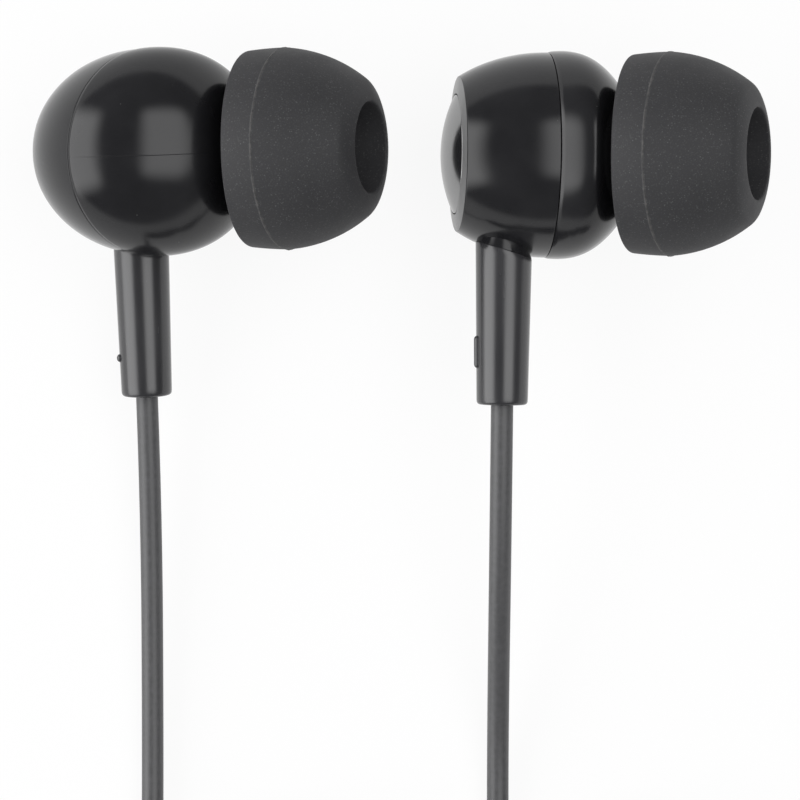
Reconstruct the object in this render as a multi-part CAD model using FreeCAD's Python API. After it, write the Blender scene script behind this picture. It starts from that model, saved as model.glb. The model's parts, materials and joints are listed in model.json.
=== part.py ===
import FreeCAD, Part
import math
import os
from FreeCAD import Placement, Rotation, Vector

# Wired in-ear earphones lying on a flat surface, in millimetres.
# +X runs along the row from the left bud to the right bud, +Y from the cables up to the buds,
# and +Z up from the surface. The origin is under the middle of the two buds.
# Each bud is drawn in its own frame: +X along the body's axis to the front, -Y down the stem,
# and the nozzle leans towards +Z. The left bud is the mirror image of the right one.

# Driver's outer size, which the housing is drawn round
driver_radius = 5.0

# Housing
lap_gap = 0.3
lap_wall = 0.35
lap_depth = 0.8
seam_wall = 0.75
seam_step = 0.04
fit_gap = 0.05
housing_wall = 0.9
rear_depth = 5.55
rear_curve_length = 8.5
rear_wall = 0.8

# Front shell: a dome that leans over from the seam's circle to the foot of the nozzle
front_middle_along = 2.83
front_middle_aside = 1.64
front_middle_step = 0.62
front_middle_lean = 9.7

# Nozzle, measured along its own axis from where that axis crosses the body's axis
nozzle_angle = 27.0
nozzle_origin_back = 3.6
nozzle_base_radius = 3.05
nozzle_base_end = 9.1
nozzle_neck_radius = 2.35
nozzle_barb_radius = 2.7
nozzle_end_radius = 2.45
nozzle_bore_radius = 1.6
nozzle_engagement = 3.1
barb_length = 1.1
barb_land = 0.5
mesh_thickness = 0.2
mesh_recess = 0.35
mesh_radius = 1.95

# Ear tip, measured along the nozzle's axis from the tip's mould seam
tip_seam_at = 11.88
tip_skirt_back = 2.22
tip_seam_radius = 6.24
tip_skirt_radius = 6.1
tip_shoulder_at = 3.5
tip_shoulder_radius = 5.28
tip_front = 5.6
tip_lip_radius = 3.75
tip_mouth_radius = 2.9
tip_cavity_depth = 3.35
tip_wall = 0.72
tip_core_wall = 0.85
tip_core_clearance = 0.5
barb_clearance = 0.05

# Rear bezel and disc
ring_step = 0.02
ring_seat = 0.6
bevel_width = 1.1
ring_rise = 0.19
ring_spigot = 1.1
disc_gap = 0.06
disc_ledge = 0.6
disc_rise = 0.83
disc_edge_depth = 0.8

# Driver, placed along the body's axis from the seam
driver_front = 1.95
driver_seat_clearance = 0.05
cover_thickness = 0.25
cover_hole_radius = 0.45
cover_hole_circle = 2.6
cover_hole_count = 6
diaphragm_plane = 1.05
diaphragm_thickness = 0.12
diaphragm_margin = 0.18
dome_rise = 0.3
travel = 0.1
travel_gap = 0.12
frame_wall = 0.22
frame_flange_rear = 0.25
frame_rear = -0.75
frame_collar_wall = 0.4
frame_vent_radius = 0.2
frame_vent_count = 6
flange_width = 0.8
yoke_wall = 0.55
yoke_floor = 0.4
yoke_rear = -1.1
yoke_front = 0.6
magnet_margin = 0.1
plate_thickness = 0.5
coil_wall = 0.26
coil_gap_outside = 0.22
coil_gap_inside = 0.17
coil_height = 1.2
damper_thickness = 0.15
board_radius = 2.0
board_thickness = 0.4
board_flat = 1.4
solder_radius = 0.42
solder_spacing = 1.5

# Stem: a soft strain relief held in the rear shell by a neck and an inner flange
stem_back = 2.75
stem_side = 1.3
stem_end = 15.6
stem_top_radius = 1.78
stem_end_radius = 1.6
stem_edge = 0.3
neck_radius = 1.2
neck_gap = 0.05
flange_radius = 1.5
flange_low = 4.0
flange_thickness = 0.5
leg_diameter = 1.4
bore_gap = 0.04
knot_radius = 0.6
knot_cord_radius = 0.55
knot_tilt = 32
knot_at = 2.35
cable_end = 1.6
wire_radius = 0.16
wire_spread = 0.3

# How each bud lies: turn about the stem, nose-up angle and roll about the body, in degrees
left_yaw = 46.3
left_pitch = -3.7
left_roll = 5.8
right_yaw = -6.1
right_pitch = -0.3
right_roll = 2.5
left_bud_x = -15.65
right_bud_x = 9.12
left_bud_y = 4.65
right_bud_y = 4.51

# Cords, coils and ties
main_diameter = 2.0
turn_gap = 0.45
leg_turns_per_layer = 2.75
leg_outer_turn = 10.3
main_turns_per_layer = 5.25
main_outer_turn = 18.43
tie_thickness = 0.4
tie_width = 3.0
tie_clearance = 0.15
leg_coil_y = -48.0
main_coil_y = -93.0
leg_first_run = 8.0
leg_floor_y = -33.0
leg_last_run = 5.0
tail_first_run = 7.7

# Splitter where the two legs join the main lead
splitter_length = 9.0
splitter_width = 5.2
splitter_height = 3.1
splitter_edge = 0.9
splitter_top_y = -72.5
splitter_x = -9.7
leg_spacing = 2.2
main_boot_length = 4.5
main_boot_radius = 1.45

# Plug: a 3.5 mm three-pole jack on a moulded handle
jack_radius = 1.75
jack_length = 14.0
jack_shoulder_radius = 2.5
jack_shoulder_length = 0.8
jack_root = 4.0
jack_bore = 0.75
sleeve_length = 5.6
insulator_length = 0.7
ring_pole_length = 2.1
tip_neck_radius = 1.2
tip_pole_land = 0.9
tip_neck_along = 1.5
tip_neck_end = 2.3
tip_crest_along = 2.75
tip_cone_along = 3.2
handle_length = 17.0
handle_rear_radius = 2.7
handle_radius = 3.2
handle_edge = 0.5
boot_length = 9.0
boot_radius = 2.0
boot_end_radius = 1.45
boot_grooves = 5
boot_groove_depth = 0.3
boot_groove_width = 0.6
plug_x = -10.5
plug_rear_y = -104.0
plug_run = 3.0

origin = Vector(0, 0, 0)
x_axis = Vector(1, 0, 0)
y_axis = Vector(0, 1, 0)
z_axis = Vector(0, 0, 1)


def export(shape, node):
    """Write one named sub-part."""
    shape.exportStep("parts/" + node + ".step")


def at(u, r):
    """A point of a turned profile: distance along the axis and radius."""
    return Vector(u, r, 0)


def line(a, b):
    return Part.makeLine(at(*a), at(*b))


def arc(a, middle, b):
    return Part.Arc(at(*a), at(*middle), at(*b)).toShape()


def dome(edge_at, radius, apex_at):
    """Arc of a sphere centred on the axis, from its rim to its top."""
    rise = apex_at - edge_at
    sphere = (radius ** 2 + rise ** 2) / (2 * abs(rise))
    half = radius / 2
    fall = sphere - math.sqrt(sphere ** 2 - half ** 2)
    return arc((edge_at, radius), (apex_at - math.copysign(fall, rise), half), (apex_at, 0))


def polyline(points):
    return [line(a, b) for a, b in zip(points, points[1:])]


def turned(edges):
    """Turn a closed profile about the X axis."""
    wire = Part.Wire(Part.__sortEdges__(edges))
    return Part.Face(wire).revolve(origin, x_axis, 360)


def turned_points(points):
    return turned(polyline(points + [points[0]]))


def cylinder(radius, start, end):
    """A cylinder about the X axis."""
    return Part.makeCylinder(radius, end - start, Vector(start, 0, 0), x_axis)


def ring(outer, inner, start, end):
    return turned_points([(start, inner), (start, outer), (end, outer), (end, inner)])


def hole_circle(count, circle, radius, start, end):
    """Holes parallel to the X axis, evenly spaced on a circle."""
    holes = []
    for k in range(count):
        angle = 2 * math.pi * k / count
        centre = Vector(start, circle * math.cos(angle), circle * math.sin(angle))
        holes.append(Part.makeCylinder(radius, end - start, centre, x_axis))
    return holes


def along_nozzle(shape):
    """Carry a piece drawn about the X axis to the nozzle's axis."""
    moved = shape.copy()
    moved.rotate(origin, y_axis, -nozzle_angle)
    moved.translate(Vector(-nozzle_origin_back, 0, 0))
    return moved


# Sizes that follow from the ones above
tip_core_back = nozzle_base_end + tip_core_clearance
nozzle_end = tip_core_back + nozzle_engagement
tip_bore_radius = nozzle_barb_radius + barb_clearance
driver_seat_depth = driver_front + driver_seat_clearance
lap_outer_radius = driver_radius + lap_gap + lap_wall
seam_radius = lap_outer_radius + fit_gap + seam_wall
rear_slope = math.acos(-rear_depth / rear_curve_length)
rear_edge_radius = seam_radius * math.sin(rear_slope)
ring_outer_radius = rear_edge_radius - ring_step
ring_inner_radius = ring_outer_radius - bevel_width
rear_opening_radius = ring_outer_radius - ring_seat
disc_radius = ring_inner_radius - disc_gap
disc_ledge_radius = ring_inner_radius - disc_ledge
yoke_radius = driver_radius - flange_width - frame_collar_wall - fit_gap
yoke_bore_radius = yoke_radius - yoke_wall
coil_outer_radius = yoke_bore_radius - coil_gap_outside
coil_inner_radius = coil_outer_radius - coil_wall
plate_radius = coil_inner_radius - coil_gap_inside
magnet_radius = plate_radius - magnet_margin
dome_radius = (coil_inner_radius + coil_outer_radius) / 2
diaphragm_radius = driver_radius - frame_wall - diaphragm_margin
frame_vent_circle = driver_radius - flange_width + frame_vent_radius + fit_gap
diaphragm_back = diaphragm_plane - diaphragm_thickness / 2
frame_seat = diaphragm_back - travel - travel_gap


def front_section(share):
    """One circle of the front shell's outside; 0 is the seam's circle and 1 the foot of the nozzle."""
    lean = math.radians(nozzle_angle)
    foot_along = nozzle_base_end * math.cos(lean) - nozzle_origin_back
    foot_aside = nozzle_base_end * math.sin(lean)
    seam = (0, 0, seam_radius, 0)
    middle = (front_middle_along, front_middle_aside, seam_radius - front_middle_step, front_middle_lean)
    foot = (foot_along, foot_aside, nozzle_base_radius, nozzle_angle)
    parts = ((1 - share) * (1 - 2 * share), 4 * share * (1 - share), share * (2 * share - 1))
    along, aside, radius, turn = [
        parts[0] * p + parts[1] * q + parts[2] * r for p, q, r in zip(seam, middle, foot)
    ]
    turn = math.radians(turn)
    normal = Vector(math.cos(turn), 0, math.sin(turn))
    return Part.Wire(Part.makeCircle(radius, Vector(along, 0, aside), normal))


def front_outer():
    """The front shell's outside: a dome that leans over to the foot of the nozzle."""
    return Part.makeLoft([front_section(k / 4) for k in range(5)], True)


def nozzle_outer():
    barb_back = nozzle_end - barb_length
    return along_nozzle(turned_points([
        (nozzle_base_end - 2.5, 0),
        (nozzle_base_end - 2.5, nozzle_neck_radius),
        (barb_back, nozzle_neck_radius),
        (barb_back + 0.12, nozzle_barb_radius),
        (barb_back + 0.12 + barb_land, nozzle_barb_radius),
        (nozzle_end, nozzle_end_radius),
        (nozzle_end, 0),
    ]))


def front_housing():
    """Front shell with its angled, barbed nozzle, the driver's seat and the sound passage."""
    shell = front_outer().fuse(nozzle_outer())
    lap = cylinder(lap_outer_radius + fit_gap, -1.0, lap_depth + fit_gap)
    seat = cylinder(driver_radius + driver_seat_clearance, 0, driver_seat_depth)
    chamber_radius = driver_radius - 0.6
    chamber = turned([
        line((driver_seat_depth - 0.5, 0), (driver_seat_depth - 0.5, chamber_radius)),
        line((driver_seat_depth - 0.5, chamber_radius), (driver_seat_depth, chamber_radius)),
        dome(driver_seat_depth, chamber_radius, driver_seat_depth + 2.6),
        line((driver_seat_depth + 2.6, 0), (driver_seat_depth - 0.5, 0)),
    ])
    passage = along_nozzle(cylinder(nozzle_bore_radius, 5.6, nozzle_end + 1.0))
    seat_start = nozzle_end - mesh_recess - mesh_thickness
    mesh_seat = along_nozzle(cylinder(mesh_radius + fit_gap, seat_start, nozzle_end + 1.0))
    return shell.cut(lap).cut(seat).cut(chamber).cut(passage).cut(mesh_seat)


def rear_profile(offset):
    """The rear shell's outer curve, moved inwards by a wall."""
    curve = Part.Ellipse(origin, rear_curve_length - offset, seam_radius - seam_step - offset)
    end = math.acos(-(rear_depth - min(offset, rear_wall)) / (rear_curve_length - offset))
    return curve, end


def rear_outer():
    curve, end = rear_profile(0.0)
    last = curve.value(end)
    return turned([
        line((0, 0), (0, seam_radius - seam_step)),
        Part.ArcOfEllipse(curve, math.pi / 2, end).toShape(),
        line((last.x, last.y), (last.x, 0)),
        line((last.x, 0), (0, 0)),
    ])


def rear_inner():
    curve, end = rear_profile(housing_wall)
    first = curve.value(math.pi / 2)
    last = curve.value(end)
    return turned([
        line((1.0, 0), (1.0, first.y)),
        line((1.0, first.y), (0, first.y)),
        Part.ArcOfEllipse(curve, math.pi / 2, end).toShape(),
        line((last.x, last.y), (last.x, 0)),
        line((last.x, 0), (1.0, 0)),
    ])


def stem_axis_point(depth):
    """A point on the stem's axis, this far below the body's axis."""
    return Vector(-stem_back, -depth, stem_side)


def stem_cylinder(radius, top, bottom):
    return Part.makeCylinder(radius, bottom - top, stem_axis_point(bottom), y_axis)


def rear_housing():
    """Rear cup with its lap spigot, the hole for the stem and the opening behind the bezel."""
    cup = rear_outer().cut(rear_inner())
    cup = cup.fuse(ring(lap_outer_radius, lap_outer_radius - lap_wall, -0.5, lap_depth))
    cup = cup.cut(cylinder(rear_opening_radius, -rear_depth - 1.0, -rear_depth + 2.0))
    return cup.cut(stem_cylinder(neck_radius + neck_gap, 3.0, 8.0))


def rear_ring():
    """Bevelled bezel: a cone from the shell's edge to the disc, on a spigot in the opening."""
    outside = -rear_depth
    crest = outside - ring_rise
    spigot_end = outside + ring_spigot
    ledge = crest + disc_edge_depth + fit_gap
    return turned_points([
        (outside, ring_outer_radius),
        (crest, ring_inner_radius),
        (ledge, ring_inner_radius),
        (ledge, disc_ledge_radius),
        (spigot_end, disc_ledge_radius),
        (spigot_end, rear_opening_radius - fit_gap),
        (outside, rear_opening_radius - fit_gap),
    ])


def rear_disc():
    """Shallow domed disc in the bezel."""
    edge = -rear_depth - ring_rise
    back = edge + disc_edge_depth
    return turned([
        line((back, 0), (back, disc_radius)),
        line((back, disc_radius), (edge, disc_radius)),
        dome(edge, disc_radius, edge - disc_rise),
        line((edge - disc_rise, 0), (back, 0)),
    ])


def nozzle_mesh():
    back = nozzle_end - mesh_recess - mesh_thickness
    return along_nozzle(cylinder(mesh_radius, back, back + mesh_thickness))


def ear_tip():
    """Soft tip: a thin skirt folded back over a core that slides on the nozzle."""
    back = -tip_skirt_back
    core_back = tip_core_back - tip_seam_at
    core_radius = tip_bore_radius + tip_core_wall
    lip = (tip_front - 0.05, tip_lip_radius)
    mouth = (tip_front - 0.25, tip_mouth_radius)
    bend = (tip_seam_radius - tip_skirt_radius) * 0.72
    shoulder_mid = (tip_shoulder_at / 2, (tip_seam_radius + tip_shoulder_radius) / 2 + 0.13)
    front_mid = ((tip_shoulder_at + lip[0]) / 2, (tip_shoulder_radius + lip[1]) / 2 + 0.2)
    skirt = (back, tip_skirt_radius)
    seam = (0, tip_seam_radius)
    shoulder = (tip_shoulder_at, tip_shoulder_radius)
    inner_skirt = (back, tip_skirt_radius - tip_wall)
    inner_seam = (0, tip_seam_radius - tip_wall)
    corner = (tip_cavity_depth - 0.35, core_radius)
    top = (tip_cavity_depth, core_radius + 0.35)
    inner_mid = (tip_cavity_depth * 0.55, (inner_seam[1] + top[1]) / 2 + 0.25)
    edges = [
        arc(skirt, (back / 2, tip_skirt_radius + bend), seam),
        arc(seam, shoulder_mid, shoulder),
        arc(shoulder, front_mid, lip),
        arc(lip, (tip_front + 0.12, (lip[1] + mouth[1]) / 2), mouth),
        line(mouth, (tip_front - 1.2, tip_bore_radius)),
        line((tip_front - 1.2, tip_bore_radius), (core_back, tip_bore_radius)),
        arc((core_back, tip_bore_radius), (core_back - 0.18, (tip_bore_radius + core_radius) / 2),
            (core_back, core_radius)),
        line((core_back, core_radius), corner),
        arc(corner, (tip_cavity_depth - 0.1, core_radius + 0.1), top),
        arc(top, inner_mid, inner_seam),
        arc(inner_seam, (back / 2, inner_skirt[1] + bend), inner_skirt),
        arc(inner_skirt, (back - 0.12, tip_skirt_radius - tip_wall / 2), skirt),
    ]
    tip = turned(edges)
    tip.translate(Vector(tip_seam_at, 0, 0))
    return along_nozzle(tip)


def driver_cover():
    """Holed plate over the diaphragm."""
    plate = cylinder(driver_radius - frame_wall - fit_gap, driver_front - cover_thickness, driver_front)
    plate = plate.cut(cylinder(cover_hole_radius, 0, driver_front + 1))
    for hole in hole_circle(cover_hole_count, cover_hole_circle, cover_hole_radius, 0, driver_front + 1):
        plate = plate.cut(hole)
    return plate


def driver_frame():
    """Basket: an outer wall, a vented flange and a collar round the yoke."""
    collar = yoke_radius + fit_gap
    frame = turned_points([
        (frame_rear, collar),
        (frame_rear, collar + frame_collar_wall),
        (frame_flange_rear, collar + frame_collar_wall),
        (frame_flange_rear, driver_radius),
        (driver_front, driver_radius),
        (driver_front, driver_radius - frame_wall),
        (frame_seat, driver_radius - frame_wall),
        (frame_seat, driver_radius - frame_wall - 0.3),
        (frame_seat - 0.12, driver_radius - frame_wall - 0.3),
        (frame_seat - 0.12, collar),
    ])
    for hole in hole_circle(frame_vent_count, frame_vent_circle, frame_vent_radius, -1, 1.5):
        frame = frame.cut(hole)
    return frame


def damping_ring():
    """Thin paper ring behind the basket's vents."""
    inner = yoke_radius + fit_gap + frame_collar_wall + fit_gap
    return ring(driver_radius - 0.15, inner, frame_flange_rear - damper_thickness, frame_flange_rear)


def yoke():
    """Steel cup round the magnet."""
    return turned_points([
        (yoke_rear, 0),
        (yoke_rear, yoke_radius),
        (yoke_front, yoke_radius),
        (yoke_front, yoke_bore_radius),
        (yoke_rear + yoke_floor, yoke_bore_radius),
        (yoke_rear + yoke_floor, 0),
    ])


def magnet():
    return cylinder(magnet_radius, yoke_rear + yoke_floor, yoke_front - plate_thickness)


def top_plate():
    return cylinder(plate_radius, yoke_front - plate_thickness, yoke_front)


def voice_coil():
    """Coil ring in the gap between the top plate and the yoke, carried by the diaphragm."""
    return ring(coil_outer_radius, coil_inner_radius, diaphragm_back - coil_height, diaphragm_back)


def diaphragm():
    """Thin domed centre with one half roll round it."""
    t = diaphragm_thickness
    rear = diaphragm_back
    roll_inner = coil_outer_radius + 0.35
    roll_outer = diaphragm_radius - 0.35
    roll_mid = (roll_inner + roll_outer) / 2
    roll_rise = 0.28
    return turned([
        dome(rear, dome_radius, rear + dome_rise),
        line((rear, dome_radius), (rear, roll_inner)),
        arc((rear, roll_inner), (rear + roll_rise, roll_mid), (rear, roll_outer)),
        line((rear, roll_outer), (rear, diaphragm_radius)),
        line((rear, diaphragm_radius), (rear + t, diaphragm_radius)),
        line((rear + t, diaphragm_radius), (rear + t, roll_outer)),
        arc((rear + t, roll_outer), (rear + roll_rise + t, roll_mid), (rear + t, roll_inner)),
        line((rear + t, roll_inner), (rear + t, dome_radius)),
        dome(rear + t, dome_radius, rear + dome_rise + t),
        line((rear + dome_rise + t, 0), (rear + dome_rise, 0)),
    ])


def solder_points():
    """The two places on the board where the wires are soldered, one above the other."""
    back = yoke_rear - board_thickness
    return [Vector(back, side * solder_spacing / 2, 0) for side in (-1, 1)]


def terminal_board():
    """Small round board with one flat side on the back of the yoke, with its two solder joints."""
    back = yoke_rear - board_thickness
    board = cylinder(board_radius, back, yoke_rear)
    flat_corner = Vector(back - 1, -board_radius, board_flat)
    board = board.cut(Part.makeBox(2, 2 * board_radius, board_radius, flat_corner))
    for point in solder_points():
        bead = Part.makeSphere(solder_radius, point + Vector(0.1, 0, 0))
        board = board.fuse(bead.cut(cylinder(board_radius, yoke_rear, yoke_rear + 1)))
    return board


def strain_relief():
    """Tapered stem with a neck through the shell and a flange inside it."""
    stem = Part.makeCone(stem_end_radius, stem_top_radius, stem_end - 4.5, stem_axis_point(stem_end), y_axis)
    low_edges = [e for e in stem.Edges if abs(e.CenterOfMass.y + stem_end) < 1e-6 and e.Length > 1]
    stem = stem.makeFillet(stem_edge, low_edges)
    stem = stem.cut(rear_outer())
    stem = stem.fuse(stem_cylinder(neck_radius, flange_low, 7.5))
    stem = stem.fuse(stem_cylinder(flange_radius, flange_low - flange_thickness, flange_low))
    return stem.cut(stem_cylinder(leg_diameter / 2 + bore_gap, 2.0, stem_end + 1))


def cable_core():
    """The cable inside the stem, the knot that holds it above the flange, and its two wires."""
    core = stem_cylinder(leg_diameter / 2, cable_end, stem_end)
    for tilt in (-knot_tilt, knot_tilt):
        loop = Part.makeTorus(knot_radius, knot_cord_radius)
        loop.rotate(origin, x_axis, 90 + tilt)
        loop.translate(stem_axis_point(knot_at))
        core = core.fuse(loop)
    for wire in lead_wires():
        core = core.fuse(wire)
    return core


def lead_wires():
    """Two fine wires from the cable's end to the solder joints, arriving square to them."""
    wires = []
    for side, target in zip((-1, 1), solder_points()):
        start = stem_axis_point(cable_end + 0.3) + Vector(0, 0, side * wire_spread)
        rise = Vector(start.x - 0.1 * (1 + side), target.y, start.z - 0.25)
        turn = Vector(target.x - solder_radius - 0.55, target.y, 0.0)
        end = Vector(target.x + 0.1 - solder_radius, target.y, 0.0)
        wires.append(sweep(route_wire([start, rise, turn, end])[0], 2 * wire_radius))
    return wires


def route_wire(points):
    """Straight runs joined by tangent arcs, each as large as its two runs allow."""
    edges = []
    radii = []
    last = points[0]
    for before, corner, after in zip(points, points[1:], points[2:]):
        run_in = corner - before
        run_out = after - corner
        turn = run_in.getAngle(run_out)
        cut_back = 0.45 * min(run_in.Length, run_out.Length)
        radius = cut_back / math.tan(turn / 2)
        start = corner - Vector(run_in).normalize() * cut_back
        end = corner + Vector(run_out).normalize() * cut_back
        chord_middle = (start + end) * 0.5
        towards = (corner - chord_middle).normalize()
        middle = chord_middle + towards * (radius * (1 - math.cos(turn / 2)))
        edges.append(Part.LineSegment(last, start).toShape())
        edges.append(Part.Arc(start, middle, end).toShape())
        radii.append(radius)
        last = end
    edges.append(Part.LineSegment(last, points[-1]).toShape())
    return Part.Wire(edges), radii


def sweep(path, diameter):
    """Round tube along a wire."""
    first = path.Edges[0]
    start = first.valueAt(first.FirstParameter)
    direction = first.tangentAt(first.FirstParameter)
    section = Part.Wire([Part.Circle(start, direction, diameter / 2).toShape()])
    return path.makePipeShell([section], True, False)


def tube(points, diameter, name):
    path, radii = route_wire(points)
    solid = sweep(path, diameter)
    expected = math.pi * diameter ** 2 / 4 * path.Length
    print(name, "length", round(path.Length, 1), "volume ratio", round(solid.Volume / expected, 4),
          "radii", [round(r, 1) for r in radii])
    print(name, "route", [[round(c, 3) for c in p] for p in points])
    return solid


def biarc(p0, t0, p1, t1):
    """Two arcs from p0 to p1 that leave and arrive along the given directions."""
    across = p1 - p0
    both = t0 + t1
    spread = 2 * (1 - t0.dot(t1))
    reach = across.dot(both)
    distance = (-reach + math.sqrt(reach ** 2 + spread * across.dot(across))) / spread
    q0 = p0 + t0 * distance
    q1 = p1 - t1 * distance
    joint = (q0 + q1) * 0.5
    arcs = []
    for a, corner, b in ((p0, q0, joint), (joint, q1, p1)):
        middle = (a + b) * 0.5
        height = corner - middle
        half_chord = (b - a).Length / 2
        half_angle = math.atan2(height.Length, half_chord)
        crown = middle + height.normalize() * (half_chord * math.tan(half_angle / 2))
        arcs.append(Part.Arc(a, crown, b).toShape())
    return arcs


class Coil:
    """A cord wound in one spiral inwards, a climb, and one spiral outwards on top of it."""

    def __init__(self, name, entry_x, y, diameter, outer_turn, turns_per_layer):
        self.name = name
        self.centre = Vector(entry_x + outer_turn, y, 0)
        self.diameter = diameter
        self.pitch = diameter + turn_gap
        self.outer = outer_turn
        self.turns = turns_per_layer
        self.total = 2 * turns_per_layer + 0.5
        self.low = tie_thickness + tie_clearance + diameter / 2

    def radius(self, turn):
        return self.outer - self.pitch * min(turn, self.total - turn)

    def height(self, turn):
        climbed = (turn - self.turns) / 0.5
        climbed = min(max(climbed, 0.0), 1.0)
        return self.low + self.pitch * (1 - math.cos(math.pi * climbed)) / 2

    def point(self, turn):
        angle = math.pi + 2 * math.pi * turn
        radius = self.radius(turn)
        return self.centre + Vector(radius * math.cos(angle), radius * math.sin(angle), self.height(turn))

    def direction(self, turn):
        step = 0.001
        if turn <= 0 or turn >= self.total:
            return Vector(0, -1, 0)
        return (self.point(turn + step) - self.point(turn - step)).normalize()

    def entry(self):
        return self.point(0) + Vector(0, self.diameter, 0)

    def exit(self):
        return self.point(self.total) - Vector(0, self.diameter, 0)

    def path(self):
        """Quarter turns as pairs of arcs, with a straight end of one diameter at each end."""
        edges = [Part.LineSegment(self.entry(), self.point(0)).toShape()]
        for k in range(int(round(self.total * 4))):
            a = k / 4
            b = (k + 1) / 4
            edges += biarc(self.point(a), self.direction(a), self.point(b), self.direction(b))
        edges.append(Part.LineSegment(self.point(self.total), self.exit()).toShape())
        return Part.Wire(edges)

    def solid(self):
        path = self.path()
        solid = sweep(path, self.diameter)
        expected = math.pi * self.diameter ** 2 / 4 * path.Length
        print(self.name, "length", round(path.Length, 1), "volume ratio", round(solid.Volume / expected, 4),
              "least gap", round(self.least_gap(), 2), "turns", self.total)
        return solid

    def least_gap(self):
        """Smallest distance between two turns, less the cord's diameter, on sampled points."""
        per_turn = 48
        points = [self.point(k / per_turn) for k in range(int(self.total * per_turn) + 1)]
        least = 1e9
        for i, a in enumerate(points):
            for b in points[i + per_turn // 2:]:
                least = min(least, a.distanceToPoint(b))
        return least - self.diameter

    def tie(self):
        """Closed band round all the turns, on the side away from the coil's ends."""
        side = tie_clearance + self.diameter / 2
        innermost = self.radius(math.floor(self.total / 2 - 0.5) + 0.5)
        bow = tie_width ** 2 / (8 * (innermost - side))
        inner = innermost - side - bow
        outer = self.radius(0.5) + side
        low = self.low - side
        high = self.low + self.pitch + side
        t = tie_thickness
        reach = outer - inner
        corner = Vector(inner - t, -tie_width / 2, low - t)
        band = Part.makeBox(reach + 2 * t, tie_width, high - low + 2 * t, corner)
        band = band.makeFillet(2 * t, [e for e in band.Edges if abs(e.BoundBox.YLength - tie_width) < 1e-3])
        window = Part.makeBox(reach, tie_width + 2, high - low, Vector(inner, -tie_width / 2 - 1, low))
        through = [e for e in window.Edges if abs(e.BoundBox.YLength - tie_width - 2) < 1e-3]
        window = window.makeFillet(t, through)
        band = band.cut(window)
        band.translate(self.centre)
        return band


def splitter():
    """Flat moulded block where the two legs meet the main lead, with a short boot below it."""
    low_y = splitter_top_y - splitter_length
    corner = Vector(splitter_x - splitter_width / 2, low_y, 0)
    block = Part.makeBox(splitter_width, splitter_length, splitter_height, corner)
    upright = [e for e in block.Edges if e.BoundBox.ZLength > 1]
    block = block.makeFillet(1.4 * splitter_edge, upright)
    level = [e for e in block.Edges if e.BoundBox.ZLength < 1e-3]
    block = block.makeFillet(0.55 * splitter_edge, level)
    middle = Vector(splitter_x, low_y, splitter_height / 2)
    boot = Part.makeCone(1.55, main_boot_radius, main_boot_length, middle + Vector(0, 1, 0), Vector(0, -1, 0))
    return block.fuse(boot)


def on_plug(shape):
    """Carry a piece of the plug, drawn about the X axis from the cord, to its place."""
    moved = shape.copy()
    moved.rotate(origin, z_axis, -90)
    moved.translate(Vector(plug_x, plug_rear_y, handle_radius))
    return moved


def plug_boot():
    """Soft grooved boot behind the handle."""
    boot = turned_points([
        (0, 0),
        (0, boot_end_radius),
        (boot_length, boot_radius),
        (boot_length, 0),
    ])
    step = (boot_length - 2.5) / boot_grooves
    for k in range(boot_grooves):
        start = 1.4 + k * step
        radius = boot_end_radius + (boot_radius - boot_end_radius) * start / boot_length
        boot = boot.cut(ring(boot_radius + 1, radius - boot_groove_depth, start, start + boot_groove_width))
    return boot


def plug_handle():
    """Round moulded grip with a recess for the jack's root."""
    start = boot_length
    end = boot_length + handle_length
    body = turned_points([
        (start, 0),
        (start, handle_rear_radius),
        (start + 5.0, handle_radius),
        (end - 1.5, handle_radius),
        (end, handle_radius - 0.4),
        (end, 0),
    ])
    rims = [e for e in body.Edges if e.BoundBox.YLength > 2 * handle_radius - 1.2]
    rims = [e for e in rims if abs(e.CenterOfMass.x - start) < 1e-3 or abs(e.CenterOfMass.x - end) < 1e-3]
    body = body.makeFillet(handle_edge, rims)
    return body.cut(cylinder(jack_shoulder_radius + fit_gap, end - jack_root, end + 1))


def jack_sleeve():
    """Rear pole of the jack with its shoulder and its root in the handle."""
    face = boot_length + handle_length
    return turned_points([
        (face - jack_root, jack_bore),
        (face - jack_root, jack_shoulder_radius),
        (face + jack_shoulder_length - 0.15, jack_shoulder_radius),
        (face + jack_shoulder_length, jack_shoulder_radius - 0.15),
        (face + jack_shoulder_length, jack_radius),
        (face + jack_shoulder_length + sleeve_length, jack_radius),
        (face + jack_shoulder_length + sleeve_length, jack_bore),
    ])


def jack_start():
    """Where the jack's full diameter starts along the plug."""
    return boot_length + handle_length + jack_shoulder_length


def jack_insulator(start):
    return ring(jack_radius, jack_bore, start, start + insulator_length)


def jack_ring_pole():
    start = jack_start() + sleeve_length + insulator_length
    return ring(jack_radius, jack_bore, start, start + ring_pole_length)


def jack_tip_pole():
    """Front pole: a stub on a core through the other poles, a groove and a rounded cone."""
    start = jack_start() + sleeve_length + 2 * insulator_length + ring_pole_length
    end = jack_start() + jack_length
    core = jack_bore - fit_gap
    root = boot_length + handle_length - jack_root
    neck_start = (start + tip_pole_land, jack_radius)
    neck_middle = (start + tip_neck_along, tip_neck_radius)
    neck_end = (start + tip_neck_end, jack_radius - 0.15)
    cone_start = (start + tip_cone_along, jack_radius - 0.35)
    return turned([
        line((root, 0), (root, core)),
        line((root, core), (start, core)),
        line((start, core), (start, jack_radius)),
        line((start, jack_radius), neck_start),
        arc(neck_start, neck_middle, neck_end),
        arc(neck_end, (start + tip_crest_along, jack_radius - 0.08), cone_start),
        line(cone_start, (end - 0.45, 0.75)),
        dome(end - 0.45, 0.75, end),
        line((end, 0), (root, 0)),
    ])


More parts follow.
